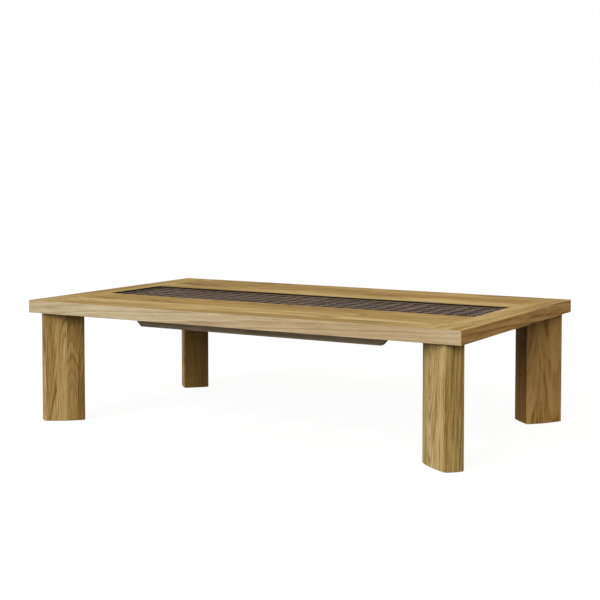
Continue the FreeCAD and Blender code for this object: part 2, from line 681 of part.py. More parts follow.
def make_apron(label, turned):
    """The front apron, or its twin at the back: its ends slant at half a right angle."""
    body = new_piece(label, turned)
    outline = new_sketch(body, "Outline", "XZ_Plane", at=("0", "0", APRON_INNER_Y))
    top_half = "(Sizes.apron_length / 2)"
    foot_half = "(%s / 2)" % APRON_FOOT_LENGTH
    draw_polygon(outline, [
        ("-" + foot_half, APRON_BOTTOM),
        (foot_half, APRON_BOTTOM),
        (top_half, UNDERSIDE),
        ("-" + top_half, UNDERSIDE),
    ])
    pad(body, outline, "Sizes.apron_thickness")
    low = value_of(APRON_BOTTOM)

    def along_foot(edge):
        ends = [vertex.Point for vertex in edge.Vertexes]
        return all(near(end.z, low) for end in ends) and near(ends[0].y, ends[1].y)

    soften(body, "Chamfer", "Sizes.apron_arris", along_foot)

    # Stepped bores for the screws, from the foot
    start = first_of_row(CROSS_RAIL_PITCH, CROSS_RAILS + 1)
    head = new_sketch(body, "HeadBore", at=("0", "0", APRON_BOTTOM))
    draw_circle(head, start, "-" + APRON_MID_Y, HEAD_BORE)
    head_cut = pocket(body, head, "Sizes.apron_counterbore", forward=True)
    shank = new_sketch(body, "ShankBore", at=("0", "0", APRON_BOTTOM))
    draw_circle(shank, start, "-" + APRON_MID_Y, SHANK_BORE)
    shank_cut = pocket(body, shank, "Sizes.apron_height + Sizes.overrun", forward=True)
    pattern(body, [head_cut, shank_cut], "X_Axis", CROSS_RAIL_PITCH, CROSS_RAILS + 1)

    # Blind bores for the dowels, from the inner face
    dowel = new_sketch(body, "DowelBores", "XZ_Plane", at=("0", "0", APRON_INNER_Y))
    draw_dowel_circles(dowel, "Sizes.dowel_diameter + 2 * Sizes.bore_gap")
    dowel_cut = pocket(body, dowel, "Sizes.dowel_in_apron + Sizes.fit_gap", forward=True)
    pattern(body, [dowel_cut], "X_Axis", CROSS_RAIL_PITCH, CROSS_RAILS)


def draw_dowel_circles(sketch, diameter, centre=None):
    """The two dowels at one end of a cross rail, by default of the leftmost one."""
    centre = centre or first_of_row(CROSS_RAIL_PITCH, CROSS_RAILS)
    for side in ("-", "+"):
        draw_circle(sketch, "%s %s Sizes.dowel_spacing / 2" % (centre, side), CROSS_RAIL_MID_Z, diameter)


def make_cross_rail(label, place):
    """A rail from apron to apron under the boards and the ledgers."""
    body = new_piece(label)
    body.setExpression("Placement.Base.x", "%d * %s" % (place, CROSS_RAIL_PITCH))
    outline = new_sketch(body, "Outline", at=("0", "0", CROSS_RAIL_BOTTOM))
    draw_centred_rectangle(outline, "(Sizes.cross_rail_width / 2)", APRON_INNER_Y)
    pad(body, outline, "Sizes.cross_rail_height")
    dowels = new_sketch(body, "DowelBores", "XZ_Plane", at=("0", "0", APRON_INNER_Y))
    draw_dowel_circles(dowels, "Sizes.dowel_diameter + 2 * Sizes.bore_gap", "0")
    dowel_cut = pocket(body, dowels, "Sizes.dowel_in_rail + Sizes.fit_gap")
    head = new_sketch(body, "HeadBore", at=("0", "0", CROSS_RAIL_BOTTOM))
    draw_circle(head, "0", "-Sizes.cross_rail_screw_offset", HEAD_BORE)
    head_cut = pocket(body, head, "Sizes.cross_rail_counterbore", forward=True)
    shank = new_sketch(body, "ShankBore", at=("0", "0", CROSS_RAIL_BOTTOM))
    draw_circle(shank, "0", "-Sizes.cross_rail_screw_offset", SHANK_BORE)
    shank_cut = pocket(body, shank, "Sizes.cross_rail_height + Sizes.overrun", forward=True)
    mirror(body, [dowel_cut, head_cut, shank_cut], "XZ_Plane")


def make_cross_rail_dowels():
    body = new_piece("cross_rail_dowels")
    section = new_sketch(body, "Section", "XZ_Plane",
                         at=("0", "0", "%s + Sizes.dowel_in_apron" % APRON_INNER_Y))
    draw_dowel_circles(section, "Sizes.dowel_diameter")
    pad(body, section, "Sizes.dowel_in_apron + Sizes.dowel_in_rail", backward=True)
    pattern(body, None, "X_Axis", CROSS_RAIL_PITCH, CROSS_RAILS)
    mirror(body, None, "XZ_Plane")


def make_upward_screws(label, y, seat, count):
    """A row of screws that stand upright under the top, heads down, and the same row at the back."""
    body = new_piece(label)
    start = first_of_row(CROSS_RAIL_PITCH, count)
    head = new_sketch(body, "Head", at=("0", "0", seat))
    draw_circle(head, start, "-" + y, "Sizes.screw_head_diameter")
    pad(body, head, "Sizes.screw_head_height", backward=True)
    shank = new_sketch(body, "Shank", at=("0", "0", seat))
    draw_circle(shank, start, "-" + y, "Sizes.screw_diameter")
    pad(body, shank, "%s + Sizes.screw_bite - %s" % (UNDERSIDE, seat))
    pattern(body, None, "X_Axis", CROSS_RAIL_PITCH, count)
    mirror(body, None, "XZ_Plane")


# Legs and what holds them

def place_at_corner(body, x_side, y_side, angle):
    body.Placement = FreeCAD.Placement(V(), FreeCAD.Rotation(UP, angle))
    body.setExpression("Placement.Base.x", "%d * %s" % (x_side, LEG_X))
    body.setExpression("Placement.Base.y", "%d * %s" % (y_side, LEG_Y))


def make_leg(label, x_side, y_side, angle):
    """A leg in its own frame, from its felt pad up to the underside of the top."""
    body = new_piece(label)
    place_at_corner(body, x_side, y_side, angle)
    section = new_sketch(body, "Section", at=("0", "0", "Sizes.foot_pad_thickness"))
    draw_leg_outline(section)
    pad(body, section, "%s - Sizes.foot_pad_thickness" % UNDERSIDE)

    def upright(edge):
        ends = [vertex.Point for vertex in edge.Vertexes]
        return near(ends[0].x, ends[1].x) and near(ends[0].y, ends[1].y)

    soften(body, "Fillet", "Sizes.leg_arris", upright)
    foot = value_of("Sizes.foot_pad_thickness")

    def round_the_foot(edge):
        return all(near(vertex.Point.z, foot) for vertex in edge.Vertexes)

    soften(body, "Chamfer", "Sizes.leg_foot_chamfer", round_the_foot)
    bores = new_sketch(body, "ScrewBores", at=("0", "0", UNDERSIDE))
    for x, y in LEG_SCREW_PLACES:
        draw_circle(bores, x, y, "Sizes.leg_screw_diameter + 2 * Sizes.bore_gap")
    pocket(body, bores, "Sizes.leg_screw_length + Sizes.bore_tip_gap")


def make_foot_pad(label, x_side, y_side, angle):
    body = new_piece(label)
    place_at_corner(body, x_side, y_side, angle)
    section = new_sketch(body, "Section")
    draw_leg_outline(section, "Sizes.foot_pad_margin")
    pad(body, section, "Sizes.foot_pad_thickness")


def make_leg_plate(label, x_side, y_side, angle):
    """The steel plate on a leg, with countersunk holes over the leg and clear holes in its tail."""
    body = new_piece(label)
    place_at_corner(body, x_side, y_side, angle)
    outline = new_sketch(body, "Outline", at=("0", "0", UNDERSIDE))
    draw_plate_outline(outline)
    pad(body, outline, "Sizes.plate_thickness")
    holes = new_sketch(body, "BoltHoles", at=("0", "0", PLATE_TOP))
    for x, y in BOLT_PLACES:
        draw_circle(holes, x, y, "Sizes.bolt_diameter + 2 * Sizes.bolt_hole_gap")
    for x, y in LEG_SCREW_PLACES:
        draw_circle(holes, x, y, "Sizes.leg_screw_diameter + 2 * Sizes.bore_gap")
    pocket(body, holes, "Sizes.plate_thickness")
    heads = new_sketch(body, "HeadSeats", at=("0", "0", PLATE_TOP))
    for x, y in LEG_SCREW_PLACES:
        draw_circle(heads, x, y, "Sizes.leg_screw_head_diameter + 2 * Sizes.bore_gap")
    pocket(body, heads, "Sizes.leg_screw_head_height")


def at_every_corner(body):
    """Mirror what stands at the front right corner to the other three."""
    mirror(body, None, "YZ_Plane")
    mirror(body, None, "XZ_Plane")


def make_leg_plate_screws():
    """The screws from each plate down into the end grain of its leg."""
    body = new_piece("leg_plate_screws")
    heads = front_right_sketch(body, "Heads", PLATE_TOP)
    shanks = front_right_sketch(body, "Shanks", PLATE_TOP)
    for x, y in LEG_SCREW_PLACES:
        draw_circle(heads, x, y, "Sizes.leg_screw_head_diameter")
        draw_circle(shanks, x, y, "Sizes.leg_screw_diameter")
    pad(body, heads, "Sizes.leg_screw_head_height", backward=True)
    pad(body, shanks, "Sizes.leg_screw_length + Sizes.plate_thickness", backward=True)
    at_every_corner(body)


def make_leg_bolts():
    """The bolts that hold the plates up, heads down, with a six-sided socket in each head."""
    body = new_piece("leg_bolts")
    seat = "(%s - Sizes.washer_thickness)" % UNDERSIDE
    heads = front_right_sketch(body, "Heads", seat)
    shanks = front_right_sketch(body, "Shanks", seat)
    sockets = front_right_sketch(body, "Sockets", seat + " - Sizes.bolt_head_height")
    for x, y in BOLT_PLACES:
        draw_circle(heads, x, y, "Sizes.bolt_head_diameter")
        draw_circle(shanks, x, y, "Sizes.bolt_diameter")
        draw_polygon(sockets, hexagon(x, y, "Sizes.bolt_socket_width"))
    pad(body, heads, "Sizes.bolt_head_height", backward=True)
    pad(body, shanks, "Sizes.bolt_length")
    pocket(body, sockets, "Sizes.bolt_socket_depth", forward=True)
    at_every_corner(body)


def hexagon(x, y, width):
    """The corners of a hexagon of a given width across its flats."""
    step = math.tau / HEX_SIDES
    reach_share = 1 / (2 * math.cos(step / 2))
    corners = []
    for number in range(HEX_SIDES):
        across_share = reach_share * math.cos(number * step)
        up_share = reach_share * math.sin(number * step)
        corners.append(("%s + %s * (%.9f)" % (x, width, across_share),
                        "%s + %s * (%.9f)" % (y, width, up_share)))
    return corners


def make_ring_set(label, height, thickness, outer, inner):
    """Washers or insert nuts: a ring round each bolt of every leg."""
    body = new_piece(label)
    rings = front_right_sketch(body, "Rings", height)
    for x, y in BOLT_PLACES:
        draw_circle(rings, x, y, outer)
        draw_circle(rings, x, y, inner)
    pad(body, rings, thickness)
    at_every_corner(body)


# Making every piece

make_long_board("front_board", turned=False)
make_long_board("back_board", turned=True)
make_end_board("right_end_board", turned=False)
make_end_board("left_end_board", turned=True)
make_long_lipping("front_lipping", turned=False)
make_long_lipping("back_lipping", turned=True)
make_end_lipping("right_lipping", turned=False)
make_end_lipping("left_lipping", turned=True)

make_long_ledger("front_ledger", turned=False)
make_long_ledger("back_ledger", turned=True)
make_end_ledger("right_ledger", turned=False)
make_end_ledger("left_ledger", turned=True)
make_ledger_screws()
make_inset_panel()

make_lattice_rail("lattice_front_rail", turned=False, long_side=True)
make_lattice_rail("lattice_back_rail", turned=True, long_side=True)
make_lattice_rail("lattice_right_rail", turned=False, long_side=False)
make_lattice_rail("lattice_left_rail", turned=True, long_side=False)
make_lattice_bars("lattice_long_bars", long_way=True)
make_lattice_bars("lattice_cross_bars", long_way=False)
make_glass_bumpers()
make_glass_panel()

make_apron("front_apron", turned=False)
make_apron("back_apron", turned=True)
for name, place in (("left_cross_rail", -1), ("middle_cross_rail", 0), ("right_cross_rail", 1)):
    make_cross_rail(name, place)
make_cross_rail_dowels()
make_upward_screws("apron_screws", APRON_MID_Y, "(%s + Sizes.apron_counterbore)" % APRON_BOTTOM,
                   CROSS_RAILS + 1)
make_upward_screws("cross_rail_screws", "Sizes.cross_rail_screw_offset",
                   "(%s + Sizes.cross_rail_counterbore)" % CROSS_RAIL_BOTTOM, CROSS_RAILS)

for corner, x_side, y_side, angle in CORNERS:
    make_tongue(corner + "_tongue", x_side, y_side)
    make_leg(corner + "_leg", x_side, y_side, angle)
    make_foot_pad(corner + "_foot_pad", x_side, y_side, angle)
    make_leg_plate(corner + "_leg_plate", x_side, y_side, angle)
make_leg_plate_screws()
make_leg_bolts()
make_ring_set("leg_bolt_washers", "%s - Sizes.washer_thickness" % UNDERSIDE, "Sizes.washer_thickness",
              "Sizes.washer_diameter", "Sizes.bolt_diameter + 2 * Sizes.bolt_hole_gap")
make_ring_set("leg_insert_nuts", RECESS_TOP, "Sizes.insert_length",
              "Sizes.insert_diameter", "Sizes.bolt_diameter + 2 * Sizes.bore_gap")

# Checking and writing

doc.recompute()
for item in doc.Objects:
    if "Invalid" in item.State or "Error" in item.State:
        raise RuntimeError("%s did not build: %s" % (item.Label, item.State))
os.makedirs("parts", exist_ok=True)
for piece in pieces:
    if piece.Shape.isNull() or not piece.Shape.isValid():
        raise RuntimeError("%s has no valid shape" % piece.Label)
for piece in pieces:
    piece.Shape.exportStep("parts/%s.step" % piece.Label)
print("%d pieces written" % len(pieces))
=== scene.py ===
"""Looks of the low table: oak boards and legs, a dark lattice under glass, a white studio.

Everything is in metres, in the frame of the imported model: the origin is on the floor under the
middle of the table, X runs along the table, Y from its front to its back, and Z up.
"""

import math
from collections import namedtuple

import bpy
from mathutils import Matrix, Vector


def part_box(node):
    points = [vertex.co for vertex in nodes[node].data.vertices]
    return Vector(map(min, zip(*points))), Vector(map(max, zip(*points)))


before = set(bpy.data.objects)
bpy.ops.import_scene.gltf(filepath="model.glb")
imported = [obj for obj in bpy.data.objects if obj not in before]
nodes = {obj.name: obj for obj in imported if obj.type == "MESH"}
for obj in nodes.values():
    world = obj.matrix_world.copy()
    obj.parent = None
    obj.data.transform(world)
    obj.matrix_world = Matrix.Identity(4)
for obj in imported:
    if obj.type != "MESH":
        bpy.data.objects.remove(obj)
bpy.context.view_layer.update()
scene = bpy.context.scene

# Directions, and the pairs of them that a board's grain and its width follow
ALONG = Vector((1, 0, 0))
BACKWARD = Vector((0, 1, 0))
UPWARD = Vector((0, 0, 1))
DIAGONAL = Vector((1, 1, 0)).normalized()
CROSS_DIAGONAL = Vector((1, -1, 0)).normalized()
LENGTHWISE = (ALONG, BACKWARD)
CROSSWISE = (BACKWARD, ALONG)

# Camera
FRAME_PIXELS = 600
FOCAL_PIXELS = 1335.48
SENSOR_WIDTH = 36.0
CAMERA_PLACE = Vector((1.9308, -3.3272, 0.7710))
CAMERA_HEADING = 2.09688
CAMERA_PITCH = 0.05532
FRAME_SHIFT_SHARE = -0.12
CLIP_NEAR = 0.05
CLIP_FAR = 200.0

# Studio: each lamp's strength, spread in degrees, colour, and the direction that it stands in
NEUTRAL = (1.0, 1.0, 1.0)
WARM = (1.0, 0.93, 0.82)
Lamp = namedtuple("Lamp", "strength spread colour source")
LAMPS = {
    "key": Lamp(strength=2.00, spread=40, colour=NEUTRAL, source=Vector((-0.10, -0.85, 0.50))),
    "side": Lamp(strength=0.70, spread=38, colour=NEUTRAL, source=Vector((-0.42, -0.81, 0.40))),
    "low": Lamp(strength=0.30, spread=16, colour=NEUTRAL, source=Vector((-0.10, -0.98, 0.17))),
    "fill": Lamp(strength=0.82, spread=60, colour=WARM, source=Vector((0.72, -0.38, 0.57))),
    "left": Lamp(strength=0.50, spread=30, colour=NEUTRAL, source=Vector((-0.85, 0.25, 0.50))),
    "rear": Lamp(strength=0.80, spread=40, colour=NEUTRAL, source=Vector((0.40, 0.82, 0.42))),
}

# The light of the sky rises from the horizon's level to its own between two sines of elevation, and
# where the sky itself is seen it is white.
HORIZON_LEVEL = 0.02
SKY_LEVEL = 0.12
HORIZON_SINE = 0.05
SKY_SINE = 0.36
SEEN_LEVEL = 1.0

# Where the floor is seen it glows, with a share of a white surface that takes shadows. The light that
# it throws back at the table is faint.
FLOOR_HALF = 40.0
FLOOR_BELOW = 0.0002
FLOOR_BOUNCE = 0.04
FLOOR_ALBEDO = 0.80
FLOOR_GLOW = 1.10
FLOOR_SHADOW_SHARE = 0.16

# Sockets of a node that mixes colours, which has others of the same names for numbers and vectors
MIX_SHARE_INPUT = 0
MIX_FIRST_INPUT = 6
MIX_SECOND_INPUT = 7
MIX_OUTPUT = 2


def grey(level):
    """An opaque linear grey."""
    return (level, level, level, 1.0)


def srgb(red, green, blue):
    """An eight bit display colour as the linear colour that a shader takes."""
    def linear(value):
        share = value / 255
        if share <= 0.04045:
            return share / 12.92
        return ((share + 0.055) / 1.055) ** 2.4
    return (linear(red), linear(green), linear(blue), 1.0)


class Tree:
    """Builds nodes in one node tree.

    The methods give back an output socket, but node and vector_math give back the whole node.
    """

    def __init__(self, tree):
        self.tree = tree

    def feed(self, socket, value):
        """Links a socket to the input, or sets the input to a plain value."""
        if isinstance(value, bpy.types.NodeSocket):
            self.tree.links.new(value, socket)
        else:
            socket.default_value = value

    def node(self, kind, inputs, **settings):
        made = self.tree.nodes.new(kind)
        for key, value in settings.items():
            setattr(made, key, value)
        for key, value in inputs.items():
            self.feed(made.inputs[key], value)
        return made

    def math(self, operation, *values):
        return self.node("ShaderNodeMath", dict(enumerate(values)), operation=operation).outputs[0]

    def vector_math(self, operation, first, second):
        return self.node("ShaderNodeVectorMath", {0: first, 1: tuple(second)}, operation=operation)

    def total(self, *values):
        result = values[0]
        for value in values[1:]:
            result = self.math("ADD", result, value)
        return result

    def square(self, value):
        return self.math("MULTIPLY", value, value)

    def scaled(self, value, factor, shift=0.0):
        return self.math("MULTIPLY_ADD", value, factor, shift)

    def swing(self, value, amount, about=0.0):
        """A value from 0 to 1 as a swing of this amount, half of it up and half of it down."""
        return self.scaled(value, amount, about - amount / 2)

    def dot(self, vector, direction):
        return self.vector_math("DOT_PRODUCT", vector, direction).outputs["Value"]

    def point(self, x, y, z):
        return self.node("ShaderNodeCombineXYZ", {0: x, 1: y, 2: z}).outputs[0]

    def place(self):
        return self.node("ShaderNodeTexCoord", {}).outputs["Object"]

    def place_from(self, centre):
        return self.vector_math("SUBTRACT", self.place(), centre).outputs[0]

    def squeezed(self, place, shares):
        """The place with its three coordinates shrunk to these shares, which draws noise out."""
        return self.node("ShaderNodeMapping", {"Vector": place, "Scale": shares}).outputs[0]

    def facing(self, direction):
        """1 where a face is turned to the direction or away from it, and 0 where it lies along it."""
        normal = self.node("ShaderNodeTexCoord", {}).outputs["Normal"]
        return self.math("ABSOLUTE", self.dot(normal, direction))

    def noise(self, place, kind):
        inputs = {
            "Vector": place,
            "Scale": kind.scale,
            "Detail": kind.detail,
            "Roughness": kind.roughness,
            "Distortion": kind.distortion,
        }
        return self.node("ShaderNodeTexNoise", inputs).outputs[0]

    def line_noise(self, place, detail, roughness):
        inputs = {"W": place, "Detail": detail, "Roughness": roughness}
        return self.node("ShaderNodeTexNoise", inputs, noise_dimensions="1D").outputs[0]

    def chance(self, value):
        """A number from 0 to 1 that is settled by the value and looks like chance."""
        return self.node("ShaderNodeTexWhiteNoise", {"W": value}, noise_dimensions="1D").outputs["Value"]

    def span(self, value, low, high, to_low=0.0, to_high=1.0):
        """The value spread from low..high to to_low..to_high and kept inside it."""
        inputs = {"Value": value, "From Min": low, "From Max": high, "To Min": to_low, "To Max": to_high}
        return self.node("ShaderNodeMapRange", inputs, clamp=True).outputs[0]

    def ramp(self, value, stops, stepped=False):
        made = self.node("ShaderNodeValToRGB", {"Fac": value})
        made.color_ramp.interpolation = "CONSTANT" if stepped else "LINEAR"
        elements = made.color_ramp.elements
        while len(elements) > 1:
            elements.remove(elements[-1])
        elements[0].position, elements[0].color = stops[0]
        for position, colour in stops[1:]:
            elements.new(position).color = colour
        return made.outputs[0]

    def curve(self, value, stops, stepped=False):
        """The value passed through straight runs, or steps, between (position, level) stops."""
        return self.ramp(value, [(position, grey(level)) for position, level in stops], stepped)

    def mix(self, share, first, second, blend="MIX"):
        inputs = {MIX_SHARE_INPUT: share, MIX_FIRST_INPUT: first, MIX_SECOND_INPUT: second}
        made = self.node("ShaderNodeMix", inputs, data_type="RGBA", blend_type=blend)
        return made.outputs[MIX_OUTPUT]

    def bump(self, height, depth, strength=1.0):
        inputs = {"Height": height, "Distance": depth, "Strength": strength}
        return self.node("ShaderNodeBump", inputs).outputs[0]

    def seen_share(self):
        """1 where a ray comes from the camera, a reflection or a clear body, and 0 elsewhere."""
        path = self.node("ShaderNodeLightPath", {}).outputs
        seen = self.math("MAXIMUM", path["Is Camera Ray"], path["Is Glossy Ray"])
        return self.math("MAXIMUM", seen, path["Is Transmission Ray"])

    def diffuse(self, level):
        return self.node("ShaderNodeBsdfDiffuse", {"Color": grey(level)}).outputs[0]

    def blend_shaders(self, share, first, second):
        return self.node("ShaderNodeMixShader", {0: share, 1: first, 2: second}).outputs[0]


class Shader(Tree):
    """The nodes of one new material."""

    def __init__(self, name):
        self.material = bpy.data.materials.new(name)
        self.material.use_nodes = True
        super().__init__(self.material.node_tree)
        self.tree.nodes.clear()

    def end(self, shader):
        """Ends the material in this shader and gives the material back."""
        self.node("ShaderNodeOutputMaterial", {"Surface": shader})
        return self.material

    def surface(self, **inputs):
        """Ends the material in a principled surface. Underscores stand for spaces in socket names."""
        named = {key.replace("_", " "): value for key, value in inputs.items()}
        return self.end(self.node("ShaderNodeBsdfPrincipled", named).outputs[0])


# Noise
# It has a scale, detail, roughness and distortion. What follows is used by wood alone: the share to
# which lengths along the grain are shrunk, a shift along the grain, and the range of the noise that is
# spread from 0 to 1. The usual range holds most of the values of any noise.
Noise = namedtuple(
    "Noise",
    "scale detail roughness distortion share shift low high",
    defaults=(0.5, 0.0, 1.0, 0.0, 0.0, 1.0),
)
USUAL_RANGE = (0.2, 0.8)

# Wood
# A wood is solid: its growth rings are cylinders about a pith line beside the piece, so faces
# cut along the grain show arches and lines, and faces cut across it show arcs. A wide piece is
# glued up of staves side by side, and each stave has a pith line and a tone of its own.
# A kind of wood has its colours, then how much rings, bands of rings, broad patches, fibres and pores
# show, its gloss, how much of its end colour covers end grain, and how much painted shade darkens its
# upright sides.
USUAL_END_SHARE = 0.85
Wood = namedtuple(
    "Wood",
    "deep middle pale amber end ring band broad fibre pore gloss end_share flank",
    defaults=(USUAL_END_SHARE, 0.0),
)

# A cut says how one piece lies in its log: the directions of its grain and its width, the pith line's
# place beside its middle and below it, how the line leans, a seed that sets the piece apart from the
# others, how far the rings wave, the tone, the share of warm patches, the width and the tones of the
# staves, and a tone of painted shade for faces that are turned to the direction of the width.
USUAL_WAVE = 0.020
USUAL_WARMTH = 0.45
Cut = namedtuple(
    "Cut",
    "grain across pith_side pith_depth lean seed wave tone warmth stave tones turned",
    defaults=(USUAL_WAVE, 0.0, USUAL_WARMTH, 0.0, (), 0.0),
)

OAK = Wood(
    deep=srgb(104, 77, 28),
    middle=srgb(167, 137, 71),
    pale=srgb(206, 179, 120),
    amber=srgb(158, 117, 46),
    end=srgb(196, 171, 128),
    ring=0.36,
    band=0.58,
    broad=0.62,
    fibre=0.46,
    pore=0.55,
    gloss=0.07,
)
LEG_OAK = OAK._replace(
    deep=srgb(108, 79, 36),
    middle=srgb(174, 144, 86),
    pale=srgb(214, 190, 136),
    amber=srgb(168, 120, 58),
    ring=0.42,
    band=0.50,
    broad=0.34,
    fibre=0.52,
)
RED_OAK = LEG_OAK._replace(
    deep=srgb(104, 70, 32),
    middle=srgb(188, 144, 76),
    pale=srgb(228, 188, 120),
    amber=srgb(178, 121, 57),
    ring=0.70,
    band=0.80,
    broad=0.46,
    fibre=0.86,
)
LIPPING_OAK = OAK._replace(
    deep=srgb(146, 121, 87),
    middle=srgb(192, 171, 135),
    pale=srgb(214, 199, 169),
    amber=srgb(184, 157, 115),
    ring=0.34,
    broad=0.50,
    fibre=0.42,
    pore=0.34,
)
# Apron oak: its colours are lightened past the wood's own as painted light, making up for the shade under
# the top's overhang. Its end grain is nearly black, partly stain soaked into the end grain and partly
# painted shade on the apron's slanted end facets.
LIGHTENED_APRON_OAK = OAK._replace(
    deep=srgb(148, 131, 102),
    middle=srgb(218, 198, 164),
    pale=srgb(234, 219, 190),
    amber=srgb(208, 183, 143),
    end=srgb(24, 17, 10),
    end_share=0.97,
)
UNDERFRAME_OAK = OAK._replace(
    deep=srgb(134, 104, 66),
    middle=srgb(168, 138, 96),
    pale=srgb(190, 164, 122),
    amber=srgb(166, 128, 82),
    pore=0.25,
)
BEECH = OAK._replace(
    deep=srgb(168, 128, 92),
    middle=srgb(198, 160, 122),
    pale=srgb(214, 182, 146),
    amber=srgb(196, 150, 110),
    ring=0.15,
    pore=0.15,
)
# The lattice's upright sides are darkened nearly to the deep colour as painted shade between the bars under
# the glass; its tops keep the pale wood.
LATTICE_WOOD = OAK._replace(
    deep=srgb(36, 27, 19),
    middle=srgb(158, 132, 108),
    pale=srgb(196, 172, 148),
    amber=srgb(150, 118, 92),
    gloss=0.06,
    flank=0.92,
)

# Noise of the wood, from the slow bend of the rings down to the pores
WAVE = Noise(scale=7.0, detail=2.0, share=0.34)
RIPPLE = Noise(scale=60.0, detail=2.0, share=0.14, shift=3.1)
BROAD = Noise(scale=15.0, detail=3.0, roughness=0.60, share=0.15, shift=7.7, low=0.30, high=0.70)
WARMTH = Noise(scale=10.0, detail=3.0, share=0.06, shift=12.3, low=0.42, high=0.62)
STREAK = Noise(scale=120.0, detail=3.0, roughness=0.65, share=0.045, shift=9.1, low=0.28, high=0.72)
FIBRE = Noise(scale=420.0, detail=4.0, roughness=0.70, share=0.030, shift=5.5, low=0.30, high=0.70)
PORE = Noise(scale=1250.0, detail=1.0, share=0.06, shift=1.7, low=0.56, high=0.70)

# Growth rings: the darkness through one ring, the least strength of a ring beside the strongest, and
# the noise that gathers rings into bands
RING_SPACING = 0.0034
RIPPLE_HEIGHT = 0.0014
RING_STOPS = ((0.0, 1.0), (0.10, 0.85), (0.34, 0.24), (0.72, 0.04), (0.94, 0.25), (1.0, 1.0))
LEAST_RING_SHARE = 0.20
BAND_RATE = 0.085
BAND_DETAIL = 4.0
BAND_ROUGHNESS = 0.66
BAND_RANGE = (0.28, 0.72)

# Staves: how far their pith lines scatter, and how far apart they lie in the noise
PITH_SCATTER = 0.07
STAVE_STRIDE = 7.7

# Tones: the middle one, the level that stands for no change in a ramp, which holds nothing below zero,
# and the share of the fibres' strength that the streaks have
MIDDLE_TONE = 0.56
RAMP_ZERO = 0.5
STREAK_SHARE = 0.7

# Pores are fewer between the rings than in the dark of one.
PORE_RING_LEVEL = 0.4
PORE_BETWEEN_SHARE = 0.22

# How squarely a face is turned to a direction where a change of looks starts and where it is complete
# The first range is for the painted shade on faces turned to a piece's width
TURNED_SHADE_RANGE = (0.6, 0.8)
END_GRAIN_RANGE = (0.55, 0.68)
# The range of the lattice's painted side shade, against how squarely a face looks up
SIDE_SHADE_RANGE = (0.3, 0.7)

# Relief of the grain: its depth and strength, and the shares that fibres rise and pores and rings dip
GRAIN_DEPTH = 0.00022
GRAIN_STRENGTH = 0.6
FIBRE_RISE_SHARE = 0.5
PORE_DIP_SHARE = 0.8
RING_DIP_SHARE = 0.25

# Roughness of clear wood, and what a ring, a pore and a streak add to it
CLEAR_ROUGHNESS = 0.56
RING_ROUGHNESS = 0.10
PORE_ROUGHNESS = 0.15
STREAK_ROUGHNESS = 0.08


def staves(shader, cut, side):
    """The tone, the pith line's place and the place in the noise of the stave that holds a point."""
    count = len(cut.tones)
    stave = shader.math("FLOOR", shader.scaled(side, 1 / cut.stave, count / 2))
    stops = [(index / count, RAMP_ZERO + tone) for index, tone in enumerate(cut.tones)]
    level = shader.curve(shader.scaled(stave, 1 / count, 1 / (2 * count)), stops, stepped=True)
    tone = shader.scaled(level, 1.0, cut.tone - RAMP_ZERO)
    middle = shader.scaled(stave, cut.stave, cut.stave * (1 - count) / 2)
    scatter = shader.swing(shader.chance(shader.scaled(stave, 1.0, cut.seed)), PITH_SCATTER)
    return tone, shader.total(middle, scatter), shader.scaled(stave, STAVE_STRIDE, cut.seed)


